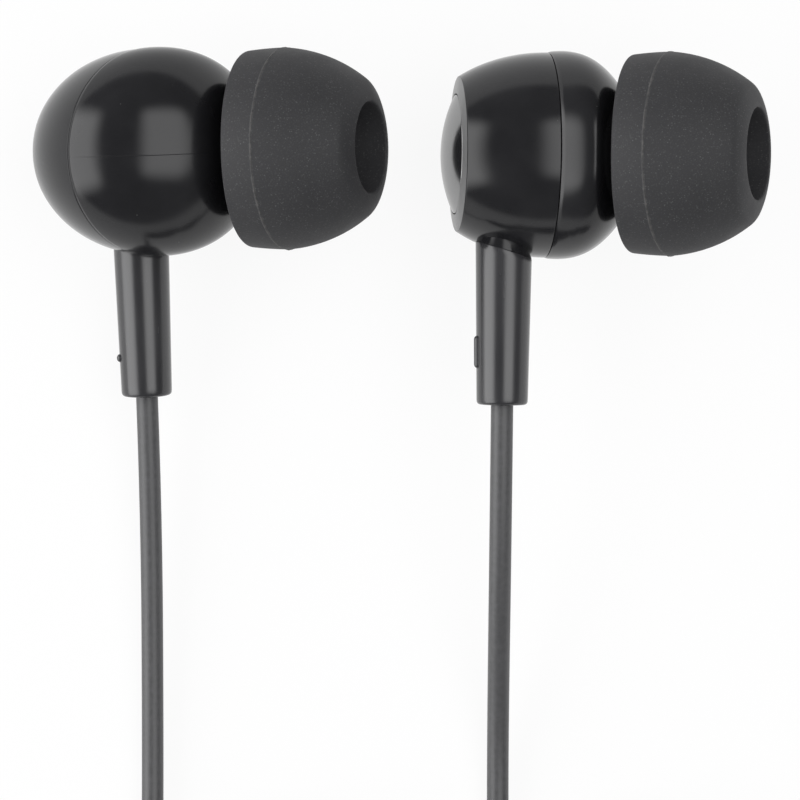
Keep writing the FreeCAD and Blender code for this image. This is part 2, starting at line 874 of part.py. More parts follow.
bud_pieces = {
    "ear_tip": ear_tip(),
    "front_housing": front_housing(),
    "rear_housing": rear_housing(),
    "rear_ring": rear_ring(),
    "rear_disc": rear_disc(),
    "nozzle_mesh": nozzle_mesh(),
    "driver_cover": driver_cover(),
    "driver_frame": driver_frame(),
    "damping_ring": damping_ring(),
    "yoke": yoke(),
    "magnet": magnet(),
    "top_plate": top_plate(),
    "voice_coil": voice_coil(),
    "diaphragm": diaphragm(),
    "terminal_board": terminal_board(),
    "strain_relief": strain_relief(),
    "cable_core": cable_core(),
}


def bud_rotation(yaw, pitch, roll):
    turn = Rotation(y_axis, -yaw)
    nose = Rotation(z_axis, pitch)
    lean = Rotation(x_axis, roll)
    return turn.multiply(nose).multiply(lean)


class Bud:
    """One bud lying on the surface; the left one is the mirror image of the right one."""

    def __init__(self, side, x, y, rotation):
        self.side = side
        self.mirror = side == "left"
        self.placement = Placement(origin, rotation)
        lowest = 1e9
        for node in ("ear_tip", "front_housing", "rear_housing", "rear_ring", "strain_relief"):
            corners = self.placed(bud_pieces[node]).tessellate(0.01)[0]
            lowest = min(lowest, min(p.z for p in corners))
        self.placement = Placement(Vector(x, y, -lowest), rotation)

    def placed(self, shape):
        piece = shape.mirror(origin, z_axis) if self.mirror else shape.copy()
        piece.Placement = self.placement.multiply(piece.Placement)
        return piece

    def point(self, local):
        place = Vector(local.x, local.y, -local.z if self.mirror else local.z)
        return self.placement.multVec(place)


os.makedirs("parts", exist_ok=True)

left = Bud("left", left_bud_x, left_bud_y, bud_rotation(left_yaw, left_pitch, left_roll))
right = Bud("right", right_bud_x, right_bud_y, bud_rotation(right_yaw, right_pitch, right_roll))

# Each leg leaves its stem along the stem's axis, sinks to the surface and runs straight to its coil.
for bud, hand in ((left, -1), (right, 1)):
    for node, shape in bud_pieces.items():
        export(bud.placed(shape), bud.side + "_" + node)
    leave = bud.point(stem_axis_point(stem_end))
    along = (leave - bud.point(stem_axis_point(stem_end - 1))).normalize()
    first = leave + along * leg_first_run
    coil = Coil(bud.side + "_leg_coil", first.x, leg_coil_y, leg_diameter,
                leg_outer_turn, leg_turns_per_layer)
    floor_point = Vector(first.x, leg_floor_y, leg_diameter / 2 + 0.02)
    lead_in = coil.entry() + Vector(0, leg_last_run, 0)
    name = bud.side + "_leg_cord"
    export(tube([leave, first, floor_point, lead_in, coil.entry()], leg_diameter, name), name)
    export(coil.solid(), coil.name)
    export(coil.tie(), bud.side + "_leg_tie")
    inlet = Vector(splitter_x + hand * leg_spacing / 2, splitter_top_y, splitter_height / 2)
    run = Vector(0, tail_first_run, 0)
    name = bud.side + "_leg_tail"
    export(tube([coil.exit(), coil.exit() - run, inlet + run, inlet], leg_diameter, name), name)

# The main lead runs straight from the splitter's boot into its own coil, and ends at the plug below it.
export(splitter(), "splitter")
main_start = Vector(splitter_x, splitter_top_y - splitter_length + 1 - main_boot_length, splitter_height / 2)
main_coil = Coil("main_coil", splitter_x, main_coil_y, main_diameter, main_outer_turn, main_turns_per_layer)
export(tube([main_start, main_coil.entry()], main_diameter, "main_lead"), "main_lead")
export(main_coil.solid(), "main_coil")
export(main_coil.tie(), "main_tie")
plug_rear = Vector(plug_x, plug_rear_y, handle_radius)
run = Vector(0, plug_run, 0)
tail_route = [main_coil.exit(), main_coil.exit() - run, plug_rear + run, plug_rear]
export(tube(tail_route, main_diameter, "main_tail"), "main_tail")

# Plug
export(on_plug(plug_boot()), "plug_boot")
export(on_plug(plug_handle()), "plug_handle")
export(on_plug(jack_sleeve()), "jack_sleeve")
export(on_plug(jack_insulator(jack_start() + sleeve_length)), "jack_rear_insulator")
export(on_plug(jack_ring_pole()), "jack_ring")
export(on_plug(jack_insulator(jack_start() + sleeve_length + insulator_length + ring_pole_length)),
       "jack_front_insulator")
export(on_plug(jack_tip_pole()), "jack_tip")
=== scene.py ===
import json
import math

import bpy
import numpy as np
from mathutils import Matrix, Vector

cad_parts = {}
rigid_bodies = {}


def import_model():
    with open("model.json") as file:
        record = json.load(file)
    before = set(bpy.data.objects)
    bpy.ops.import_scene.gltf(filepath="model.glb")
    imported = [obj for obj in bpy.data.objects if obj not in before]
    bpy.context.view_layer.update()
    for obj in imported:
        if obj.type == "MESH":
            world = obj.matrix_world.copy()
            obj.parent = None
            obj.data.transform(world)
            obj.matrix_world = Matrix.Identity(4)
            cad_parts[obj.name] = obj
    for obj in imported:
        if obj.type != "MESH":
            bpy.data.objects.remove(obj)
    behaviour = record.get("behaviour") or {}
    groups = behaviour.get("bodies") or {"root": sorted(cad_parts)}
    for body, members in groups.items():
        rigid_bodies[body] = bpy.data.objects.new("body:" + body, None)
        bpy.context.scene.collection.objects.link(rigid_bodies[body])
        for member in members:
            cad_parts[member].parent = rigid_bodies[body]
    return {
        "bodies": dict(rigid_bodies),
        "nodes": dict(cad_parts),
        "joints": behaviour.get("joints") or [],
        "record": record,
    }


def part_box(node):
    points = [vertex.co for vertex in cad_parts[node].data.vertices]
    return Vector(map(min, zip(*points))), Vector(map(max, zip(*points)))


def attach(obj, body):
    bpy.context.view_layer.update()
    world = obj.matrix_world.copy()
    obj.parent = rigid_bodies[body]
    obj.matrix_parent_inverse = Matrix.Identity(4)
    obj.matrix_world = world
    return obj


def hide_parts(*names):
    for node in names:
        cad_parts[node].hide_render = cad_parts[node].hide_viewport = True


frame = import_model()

# Wired in-ear earphones on a pale surface, seen from straight above.
# Lengths are written in millimetres and made into metres by MM.
MM = 0.001

nodes = frame["nodes"]
ROOT = "earphones"
for item in list(bpy.context.scene.objects):
    if item.type != "EMPTY" and item.name not in nodes:
        bpy.data.objects.remove(item)
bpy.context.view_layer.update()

# The photograph's view: straight down on the middle of the picture
VIEW_CENTRE = (0.0, -10.83)
VIEW_HEIGHT = 207.0
VIEW_HALF_ANGLE = math.atan(25.0 / 200.0)

# How the two earpieces lie, in degrees, as in the CAD source
YAW = {"left": 46.3, "right": -6.1}
PITCH = {"left": -3.7, "right": -0.3}
ROLL = {"left": 5.8, "right": 2.5}

# The middle of the driver's yoke, along the housing's axis from the seam
YOKE_MIDDLE = -0.25

# Most of the sizes below are those of the CAD source. The ear tip's outline follows the photograph
# more closely, and the small edges and gaps and the side marks are only in this model.

# Housings, bevelled ring and disc
SEAM_RADIUS = 6.45
SEAM_STEP = 0.04
SEAM_GAP = 0.035
LAP_RADIUS = 5.65
LAP_LENGTH = 0.8
LAP_WALL = 0.35
SOCKET_DEPTH = 0.9
SOCKET_FLOOR_RADIUS = 5.05
HOUSING_WALL = 0.9
REAR_WALL = 0.8
REAR_DEPTH = 5.55
REAR_CURVE = 8.5
REAR_EDGE_SHARE = math.sqrt(1 - (REAR_DEPTH / REAR_CURVE) ** 2)
RING_OUTER = SEAM_RADIUS * REAR_EDGE_SHARE - 0.02
RING_INNER = RING_OUTER - 1.1
RING_RISE = 0.19
RING_SEAT = 0.6
RING_SPIGOT = 1.1
DISC_LEDGE = 0.6
DISC_RISE = 0.83
DISC_EDGE = 0.8
DISC_GAP = 0.06

# The front housing's middle ring: its place along and beside the axis, its radius and its lean
FRONT_MIDDLE = (2.83, 1.64, SEAM_RADIUS - 0.62, math.radians(9.7))

# Nozzle; places are measured along its axis
NOZZLE_ANGLE = math.radians(27.0)
NOZZLE_BACK = 3.6
FOOT_AT = 9.1
FOOT_RADIUS = 3.05
NOZZLE_NECK = 2.35
NOZZLE_BARB = 2.7
BARB_LENGTH = 1.1
BARB_RAMP = 0.12
BARB_LAND = 0.5
NOZZLE_END = 12.7
NOZZLE_END_RADIUS = 2.45
NOZZLE_BORE = 1.6
BORE_START = 7.0
MESH_RADIUS = 1.95
MESH_SEAT = 0.55
MESH_RECESS = 0.35
CLEARANCE = 0.05

# Ear tip; places are measured from its mould seam, which is TIP_SEAM along the nozzle
TIP_SEAM = 11.88
TIP_SEAM_RADIUS = 6.24
TIP_SKIRT_RADIUS = 6.1
TIP_BACK = -1.96
TIP_FRONT = 5.49
TIP_WALL = 0.72
TIP_WARP = 0.34
TIP_CORE_BACK = 9.6 - TIP_SEAM
TIP_CORE = 3.6
TIP_BORE = 2.75
TIP_CAVITY = 3.35
TIP_FILLET = 0.35

# Stem and side marks; places are measured down from the housing's middle
STEM_BACK = 2.75
STEM_SIDE = 1.3
STEM_START = 4.5
STEM_CUT = 5.95
STEM_SLANT = 0.3
STEM_END = 15.6
STEM_FOOT = 0.3
STEM_ROUND = 0.28
STEM_TOP_RADIUS = 1.78
STEM_END_RADIUS = 1.6
STEM_INSIDE = 0.9
HOLE_RADIUS = 0.74
HOLE_DEPTH = 3.0
BOSS_RADIUS = 1.5
BOSS_STEP = 0.04
BOSS_SINK = 0.25
SIDE_MARKS = {"left": (12.86, 13.4), "right": (11.28, 13.34)}
MARK_WIDTH = 0.5
MARK_RISE = 0.2
MARK_LEAN = math.radians(14)

# Roundings of the edges
EDGE = 0.06
SOFT = 0.05
CRISP = 0.03
ROUND_STEPS = (0.17, 0.34, 0.5, 0.66, 0.83)

# Steps shorter than this are left out of an outline
TINY = 1e-6


def make_camera():
    data = bpy.data.cameras.new("camera")
    data.sensor_width = 36.0
    data.lens = data.sensor_width / 2 / math.tan(VIEW_HALF_ANGLE)
    data.clip_start = 0.01
    data.clip_end = 20.0
    camera = bpy.data.objects.new("camera", data)
    camera.location = (VIEW_CENTRE[0] * MM, VIEW_CENTRE[1] * MM, VIEW_HEIGHT * MM)
    bpy.context.scene.collection.objects.link(camera)
    bpy.context.scene.camera = camera


make_camera()

# Cords

LEG_DIAMETER = 1.4
MAIN_DIAMETER = 2.0
TURN_GAP = 0.45
TIE_LIFT = 0.55
COIL_POINTS = 16
CLIMB = 0.5


def coil_points(entry_x, y, diameter, outer, turns):
    """Control points of a coil wound inwards below and outwards on top."""
    pitch = diameter + TURN_GAP
    total = 2 * turns + CLIMB
    low = TIE_LIFT + diameter / 2
    swell = 1 / (0.5 + 0.5 * math.cos(math.pi / COIL_POINTS) ** 2)
    points = []
    for k in range(int(total * COIL_POINTS) + 1):
        turn = k / COIL_POINTS
        climb = min(max((turn - turns) / CLIMB, 0.0), 1.0)
        radius = outer - pitch * min(turn, total - turn)
        if 0 < k < int(total * COIL_POINTS):
            radius *= swell
        angle = math.pi + 2 * math.pi * turn
        x = entry_x + outer + radius * math.cos(angle)
        height = low + pitch * (1 - math.cos(math.pi * climb)) / 2
        points.append((x, y + radius * math.sin(angle), height))
    return points


def make_cord(name, points, diameter):
    """A smooth tube about a route with these control points, and the line that it follows."""
    route = bpy.data.curves.new(name + "_route", "CURVE")
    route.dimensions = "3D"
    spline = route.splines.new("NURBS")
    spline.points.add(len(points) - 1)
    for item, point in zip(spline.points, points):
        item.co = (point[0] * MM, point[1] * MM, point[2] * MM, 1.0)
    spline.order_u = 3
    spline.use_endpoint_u = True
    spline.resolution_u = 6
    guide = bpy.data.objects.new(name + "_route", route)
    line = [tuple(v.co) for v in bpy.data.meshes.new_from_object(guide).vertices]
    route.bevel_depth = diameter / 2 * MM
    route.bevel_resolution = 6
    route.use_fill_caps = True
    cord = bpy.data.objects.new(name, bpy.data.meshes.new_from_object(guide))
    bpy.data.objects.remove(guide)
    bpy.context.scene.collection.objects.link(cord)
    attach(cord, ROOT)
    return cord, line


def leg_route(leave, bend, join_x):
    """Control points of a leg: down from its stem, on through its coil and to the splitter."""
    x = bend[0]
    return [leave, bend, (x, -33.0, 0.72), (x, -41.6, 1.25), (x, -46.6, 1.25),
            *coil_points(x, -48.0, LEG_DIAMETER, 10.3, 2.75),
            (x, -49.4, 3.1), (x, -57.1, 3.1), (join_x, -64.8, 1.55), (join_x, -72.5, 1.55)]


# Each leg's side, its exit from the stem, its first bend, its place at the splitter and its length in metres
LEGS = (
    ("left", (-16.157, -10.529, 2.688), (-15.928, -18.472, 1.758), -10.8, 0.3475),
    ("right", (6.37, -11.117, 7.329), (6.291, -19.11, 6.987), -8.6, 0.3543),
)
SPLITTER_END = (-9.7, -85.0, 1.55)

cords = []
for side, leave, bend, join_x, length in LEGS:
    leg, line = make_cord(side + "_leg", leg_route(leave, bend, join_x), LEG_DIAMETER)
    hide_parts(side + "_leg_cord", side + "_leg_coil", side + "_leg_tail")
    cords.append(leg)
main_cord, main_line = make_cord("main_cable", [
    SPLITTER_END, (-9.7, -91.0, 1.55),
    *coil_points(-9.7, -93.0, MAIN_DIAMETER, 18.43, 5.25),
    (-9.7, -95.0, 4.0), (-9.7, -98.0, 4.0), (-10.5, -101.0, 3.2), (-10.5, -104.0, 3.2),
], MAIN_DIAMETER)
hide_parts("main_lead", "main_coil", "main_tail")
cords.append(main_cord)

# Outlines and meshes


def straight(a, b, count=2):
    """Points on the line from a to b."""
    return np.array(a) + (np.array(b) - np.array(a)) * np.linspace(0, 1, count)[:, None]


def corners(*stops):
    """Straight edges through stops, each a place along the axis, a radius and the rounding there."""
    return [(straight(a[:2], b[:2]), b[2]) for a, b in zip(stops, stops[1:])]


def arc3(a, middle, b, count=12):
    """Points on the circle through three points."""
    a, m, b = (np.array(p, float) for p in (a, middle, b))
    rows = np.array([2 * (m - a), 2 * (b - a)])
    centre = np.linalg.solve(rows, np.array([m @ m - a @ a, b @ b - a @ a]))
    radius = np.linalg.norm(a - centre)
    start = math.atan2(*(a - centre)[::-1])
    half = (math.atan2(*(m - centre)[::-1]) - start) % (2 * math.pi)
    sweep = (math.atan2(*(b - centre)[::-1]) - start) % (2 * math.pi)
    if half > sweep:
        sweep -= 2 * math.pi
    angles = start + sweep * np.linspace(0, 1, count)
    return centre + radius * np.stack([np.cos(angles), np.sin(angles)], axis=1)


def dome(edge_at, radius, apex_at, count=24):
    """Arc of a sphere centred on the axis, from its rim to its top."""
    rise = apex_at - edge_at
    sphere = (radius ** 2 + rise ** 2) / (2 * abs(rise))
    r = radius * np.cos(np.linspace(0, math.pi / 2, count))
    r[-1] = 0.0
    fall = sphere - np.sqrt(sphere ** 2 - r ** 2)
    return np.stack([apex_at - math.copysign(1, rise) * fall, r], axis=1)


def ellipse(half_length, radius, start_at, end_at, count=40):
    """Part of an ellipse about the axis, from one place along it to another."""
    angles = np.linspace(math.acos(start_at / half_length), math.acos(end_at / half_length), count)
    return np.stack([half_length * np.cos(angles), radius * np.sin(angles)], axis=1)


def trimmed(edge, start, end):
    """The edge without this much of its length at each end."""
    steps = np.linalg.norm(np.diff(edge, axis=0), axis=1)
    along = np.concatenate([[0.0], np.cumsum(steps)])
    last = along[-1] - end
    inside = edge[(along > start + TINY) & (along < last - TINY)]
    ends = [[np.interp(c, along, edge[:, k]) for k in (0, 1)] for c in (start, last)]
    return np.vstack([ends[:1], inside, ends[1:]])


def outline(*pieces, closed=False):
    """Join edges, each with the rounding at its end, to one line of points."""
    line = []
    for i, (edge, after) in enumerate(pieces):
        before = pieces[i - 1][1] if i or closed else 0.0
        after = after if i < len(pieces) - 1 or closed else 0.0
        part = trimmed(edge, before, after)
        line.extend(part)
        if after:
            target = trimmed(pieces[(i + 1) % len(pieces)][0], after, 0.0)[0]
            for t in ROUND_STEPS:
                line.append((1 - t) ** 2 * part[-1] + 2 * t * (1 - t) * edge[-1] + t * t * target)
    line = np.array(line)
    keep = np.ones(len(line), bool)
    keep[1:] = np.linalg.norm(np.diff(line, axis=0), axis=1) > TINY
    return line[keep]


def rings_to_faces(rings, columns, closed):
    faces = []
    for row in range(rings if closed else rings - 1):
        for k in range(columns):
            a = row * columns + k
            b = row * columns + (k + 1) % columns
            c = (row + 1) % rings * columns + (k + 1) % columns
            d = (row + 1) % rings * columns + k
            faces.append((a, b, c, d))
    return faces


def flipped(faces):
    return [face[::-1] for face in faces]


def turned(line, columns=160, closed=False):
    """Points and faces of an outline turned about the X axis, row by row."""
    angles = 2 * math.pi * np.arange(columns) / columns
    radius = np.maximum(line[:, 1], 1e-4)
    points = np.empty((len(line), columns, 3))
    points[:, :, 0] = line[:, :1]
    points[:, :, 1] = radius[:, None] * np.sin(angles)
    points[:, :, 2] = radius[:, None] * np.cos(angles)
    return points, rings_to_faces(len(line), columns, closed)


def make_piece(name, points, faces, matrix, body, slot, *replaced, mirror=False):
    """A smooth mesh object, drawn in its own frame and put in its place, riding on a body."""
    points = np.array(points, float).reshape(-1, 3) * MM
    if mirror:
        points[:, 2] *= -1
        faces = flipped(faces)
    place = np.array(matrix)
    points = points @ place[:3, :3].T + place[:3, 3]
    mesh = bpy.data.meshes.new(name)
    mesh.from_pydata(points.tolist(), [], faces)
    mesh.polygons.foreach_set("use_smooth", [True] * len(mesh.polygons))
    mesh.update()
    piece = bpy.data.objects.new(name, mesh)
    bpy.context.scene.collection.objects.link(piece)
    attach(piece, body)
    if replaced:
        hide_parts(*replaced)
    return piece


def turn(angle, axis):
    return Matrix.Rotation(angle, 4, axis)


def bud_matrix(side):
    """Place of an earpiece's own frame, found from its yoke."""
    low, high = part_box(side + "_yoke")
    middle = (Vector(low) + Vector(high)) / 2
    rotation = (turn(-math.radians(YAW[side]), "Y") @ turn(math.radians(PITCH[side]), "Z")
                @ turn(math.radians(ROLL[side]), "X"))
    origin = middle - rotation.to_3x3() @ Vector((YOKE_MIDDLE * MM, 0, 0))
    return Matrix.Translation(origin) @ rotation


def nozzle_matrix(side, along):
    """Place of a frame on the nozzle's axis, this far along it."""
    tilt = NOZZLE_ANGLE if side == "left" else -NOZZLE_ANGLE
    return (bud_matrix(side) @ Matrix.Translation((-NOZZLE_BACK * MM, 0, 0)) @ turn(tilt, "Y")
            @ Matrix.Translation((along * MM, 0, 0)))


def front_ring(share, angles):
    """One ring of the front shell; 0 is the seam's circle and 1 the foot of the nozzle."""
    seam = (0, 0, SEAM_RADIUS, 0)
    foot = (FOOT_AT * math.cos(NOZZLE_ANGLE) - NOZZLE_BACK, FOOT_AT * math.sin(NOZZLE_ANGLE), FOOT_RADIUS,
            NOZZLE_ANGLE)
    parts = ((1 - share) * (1 - 2 * share), 4 * share * (1 - share), share * (2 * share - 1))
    along, aside, radius, lean = (
        parts[0] * p + parts[1] * q + parts[2] * r for p, q, r in zip(seam, FRONT_MIDDLE, foot))
    ray = np.stack([-np.cos(angles) * math.sin(lean), np.sin(angles), np.cos(angles) * math.cos(lean)],
                   axis=1)
    return np.array([along, 0.0, aside]) + ray * radius


def front_shell(columns=200, rows=90, first_share=0.035):
    """Rings from the seam to the nozzle's foot, then on along the nozzle and into its bore."""
    angles = 2 * math.pi * np.arange(columns) / columns
    socket = LAP_RADIUS + CLEARANCE
    opening = MESH_RADIUS + CLEARANCE
    rings = []
    for along, radius in ((SOCKET_DEPTH, SOCKET_FLOOR_RADIUS), (SOCKET_DEPTH, socket), (SEAM_GAP, socket),
                          (SEAM_GAP, SEAM_RADIUS - EDGE), (SEAM_GAP + 0.02, SEAM_RADIUS - 0.6 * EDGE),
                          (SEAM_GAP + 0.05, SEAM_RADIUS - 0.15 * EDGE)):
        rings.append(np.stack([np.full(columns, along), radius * np.sin(angles), radius * np.cos(angles)],
                              axis=1))
    for share in np.linspace(first_share, 1, rows):
        rings.append(front_ring(share, angles))
    barb = NOZZLE_END - BARB_LENGTH
    land = barb + BARB_RAMP
    seat = NOZZLE_END - MESH_SEAT
    nozzle = outline(*corners(
        (FOOT_AT, FOOT_RADIUS, 0), (FOOT_AT, NOZZLE_NECK, 2 * EDGE), (barb, NOZZLE_NECK, SOFT),
        (land, NOZZLE_BARB, SOFT), (land + BARB_LAND, NOZZLE_BARB, 2 * EDGE),
        (NOZZLE_END, NOZZLE_END_RADIUS, 2 * SOFT), (NOZZLE_END, opening, EDGE), (seat, opening, CRISP),
        (seat, NOZZLE_BORE, CRISP), (BORE_START, NOZZLE_BORE, 0)))
    axis = np.array([math.cos(NOZZLE_ANGLE), 0.0, math.sin(NOZZLE_ANGLE)])
    across = np.array([-math.sin(NOZZLE_ANGLE), 0.0, math.cos(NOZZLE_ANGLE)])
    ray = np.sin(angles)[:, None] * np.array([0.0, 1.0, 0.0]) + np.cos(angles)[:, None] * across
    for along, radius in nozzle[1:]:
        rings.append(np.array([-NOZZLE_BACK, 0.0, 0.0]) + along * axis + ray * radius)
    return np.array(rings), flipped(rings_to_faces(len(rings), columns, False))


def rear_shell():
    """Rear cup: outer and inner curves, rear opening and the lap inside the seam."""
    outer = SEAM_RADIUS - SEAM_STEP
    rim = outer * REAR_EDGE_SHARE
    opening = RING_OUTER - RING_SEAT
    inside = -REAR_DEPTH + REAR_WALL
    edge = outline(
        (ellipse(REAR_CURVE, outer, 0, -REAR_DEPTH), EDGE),
        *corners((-REAR_DEPTH, rim, 0), (-REAR_DEPTH, opening, CRISP), (inside, opening, CRISP)),
        (ellipse(REAR_CURVE - HOUSING_WALL, outer - HOUSING_WALL, inside, 0), 0),
        *corners((0, outer - HOUSING_WALL, 0), (LAP_LENGTH, LAP_RADIUS - LAP_WALL, CRISP),
                 (LAP_LENGTH, LAP_RADIUS, CRISP), (0, LAP_RADIUS, CRISP), (0, outer, EDGE)),
        closed=True)
    return turned(edge, 200, True)


def bezel():
    """Bevelled rim with the ledge that the disc sits on."""
    outer, inner, ledge = RING_OUTER, RING_INNER, RING_INNER - DISC_LEDGE
    crest = -REAR_DEPTH - RING_RISE
    seat = crest + DISC_EDGE + CLEARANCE
    back = -REAR_DEPTH + RING_SPIGOT
    spigot = outer - RING_SEAT - CLEARANCE
    edge = outline(
        (straight((-REAR_DEPTH, outer), (crest, inner), 6), SOFT),
        *corners((crest, inner, 0), (seat, inner, CRISP), (seat, ledge, CRISP), (back, ledge, CRISP),
                 (back, spigot, CRISP), (-REAR_DEPTH, spigot, CRISP), (-REAR_DEPTH, outer, CRISP)),
        closed=True)
    return turned(edge, 160, True)


def domed_disc():
    """Shallow dome in the bevelled rim, with a straight edge behind."""
    front = -REAR_DEPTH - RING_RISE
    radius = RING_INNER - DISC_GAP
    edge = outline(
        *corners((front + DISC_EDGE, 0, 0), (front + DISC_EDGE, radius, SOFT), (front, radius, EDGE)),
        (dome(front, radius, front - DISC_RISE, 40), 0))
    return turned(edge, 160)


def tip_outline():
    """The soft tip's closed outline: skirt, dome, mouth, bore, core and the hollow under the dome."""
    back, front, seam, skirt = TIP_BACK, TIP_FRONT, TIP_SEAM_RADIUS, TIP_SKIRT_RADIUS
    inner_seam, inner_skirt = seam - TIP_WALL, skirt - TIP_WALL
    bend = (seam - skirt) * 0.72
    shoulder, lip, mouth, throat = (2.73, 5.6), (5.0, 4.27), (front, 2.82), (front - 1.2, TIP_BORE)
    face = (front - 0.17, (lip[1] + mouth[1]) / 2 + 0.04)
    bore_end, core_end = (TIP_CORE_BACK, TIP_BORE), (TIP_CORE_BACK, TIP_CORE)
    root, top = (TIP_CAVITY - TIP_FILLET, TIP_CORE), (TIP_CAVITY, TIP_CORE + TIP_FILLET)
    at_lip, at_mouth, at_throat = 0.22, 0.13, 0.2
    return outline(
        (arc3((back, skirt), (back / 2, skirt + bend), (0, seam), 30), 0),
        (arc3((0, seam), shoulder, lip, 70), at_lip),
        (arc3(lip, face, mouth, 14), at_mouth),
        (straight(mouth, throat, 4), at_throat),
        (straight(throat, bore_end, 8), 0),
        (arc3(bore_end, (TIP_CORE_BACK - 0.18, (TIP_BORE + TIP_CORE) / 2), core_end, 10), 0),
        (straight(core_end, root, 8), 0),
        (arc3(root, (TIP_CAVITY - 0.1, TIP_CORE + 0.1), top, 8), 0),
        (arc3(top, (TIP_CAVITY * 0.55, (inner_seam + top[1]) / 2 + 0.25), (0, inner_seam), 24), 0),
        (arc3((0, inner_seam), (back / 2, inner_skirt + bend), (back, inner_skirt), 20), 0),
        (arc3((back, inner_skirt), (back - 0.12, skirt - TIP_WALL / 2), (back, skirt), 12), CRISP),
        closed=True)


def ear_tip(columns=220, outside_rows=90, bead_rows=13):
    """Soft tip with a slightly warped skirt and the mould seam's thin uneven bead."""
    reach, spread, sway = 0.12, 0.045, 0.012
    edge = tip_outline()
    fine = np.linspace(-reach, reach, bead_rows)
    start = int(np.argmin(np.abs(edge[:outside_rows, 0])))
    near = edge[start - 8:start + 9]
    seam_rows = np.stack([fine, np.interp(fine, near[:, 0], near[:, 1])], axis=1)
    keep = np.abs(edge[:, 0]) > reach + 0.005
    keep[outside_rows:] = True
    before = edge[:start][keep[:start]]
    after = edge[start:][keep[start:]]
    edge = np.vstack([before, seam_rows, after])
    points, faces = turned(edge, columns, True)
    angles = 2 * math.pi * np.arange(columns) / columns
    along = edge[:, :1]
    skirt = (along < 0) & (edge[:, 1:] > TIP_CORE + 1.2)
    share = np.where(skirt, np.clip(along / TIP_BACK, 0, 1.1), 0.0)
    points[:, :, 0] -= TIP_WARP * share * np.sin(angles) ** 2
    height = 0.035
    for size, waves, shift in ((0.011, 7, 0.6), (0.011, 17, 2.1), (0.0077, 41, 0.0), (0.0055, 67, 1.0)):
        height = height + size * np.sin(waves * angles + shift)
    middle = sway * np.sin(11 * angles + 1.3)
    for row in range(len(before), len(before) + bead_rows):
        bead = height * np.exp(-((points[row, :, 0] - middle) / spread) ** 2)
        points[row, :, 1:] *= (1 + bead / TIP_SEAM_RADIUS)[:, None]
    return points, flipped(faces)


def stem_ring(angles, radius, depth):
    """One ring about the stem's axis, this deep below the housing's middle."""
    return np.stack([-STEM_BACK + radius * np.cos(angles), -depth * np.ones(len(angles)),
                     STEM_SIDE + radius * np.sin(angles)], axis=1)


def stem_cut(angles, radius):
    """Depth of the slanted plane where the boss ends and the stem begins."""
    return STEM_CUT + STEM_SLANT * radius * np.cos(angles)


def stem_radius(depth):
    """The stem's radius at this depth."""
    taper = (STEM_TOP_RADIUS - STEM_END_RADIUS) / (STEM_END - STEM_START)
    return STEM_END_RADIUS + (STEM_END - depth) * taper


def stem_shape(columns=120, rows=30, top_edge=0.08):
    """Tapered stem below a slanted cut, with the cable's hole in its lower end."""
    angles = 2 * math.pi * np.arange(columns) / columns
    top = stem_radius(stem_cut(angles, STEM_TOP_RADIUS))
    first = stem_cut(angles, top)
    rings = [
        stem_ring(angles, STEM_INSIDE, stem_cut(angles, STEM_INSIDE)),
        stem_ring(angles, top - top_edge, stem_cut(angles, top - top_edge)),
        stem_ring(angles, top - 0.03, first + 0.02),
        stem_ring(angles, top, first + top_edge),
    ]
    for share in np.linspace(0, 1, rows)[1:]:
        depth = first + top_edge + (STEM_END - STEM_FOOT - top_edge - first) * share
        rings.append(stem_ring(angles, stem_radius(depth), depth))
    foot = outline(
        *corners((STEM_END - STEM_FOOT, STEM_END_RADIUS, 0), (STEM_END, STEM_END_RADIUS, STEM_ROUND),
                 (STEM_END, HOLE_RADIUS, EDGE)),
        (straight((STEM_END, HOLE_RADIUS), (STEM_END - HOLE_DEPTH, HOLE_RADIUS), 4), 0))
    for depth, radius in foot[1:]:
        rings.append(stem_ring(angles, radius, depth))
    return np.array(rings), rings_to_faces(len(rings), columns, False)


def stem_boss(columns=120, rows=14):
    """Short flared boss of the rear shell, which the stem is moulded on."""
    angles = 2 * math.pi * np.arange(columns) / columns
    x = -STEM_BACK + BOSS_RADIUS * np.cos(angles)
    z = STEM_SIDE + BOSS_RADIUS * np.sin(angles)
    shell = np.sqrt((SEAM_RADIUS - SEAM_STEP) ** 2 * (1 - (x / REAR_CURVE) ** 2) - z ** 2)
    start = shell - BOSS_SINK
    rings = []
    for share in np.linspace(0, 1, rows):
        radius = BOSS_RADIUS + (STEM_TOP_RADIUS - BOSS_STEP - BOSS_RADIUS) * share
        rings.append(stem_ring(angles, radius, start + (stem_cut(angles, radius) + 0.01 - start) * share))
    return np.array(rings), rings_to_faces(rows, columns, False)


def screen_disc(thickness=0.2, bow=0.03, rounding=0.02):
    """Woven screen in the nozzle's end, slightly bowed."""
    edge = outline(
        *corners((-thickness, 0, 0), (-thickness, MESH_RADIUS, rounding), (-bow, MESH_RADIUS, rounding)),
        (dome(-bow, MESH_RADIUS, 0.0, 16), 0))
    points, faces = turned(edge, 96)
    return points, flipped(faces)


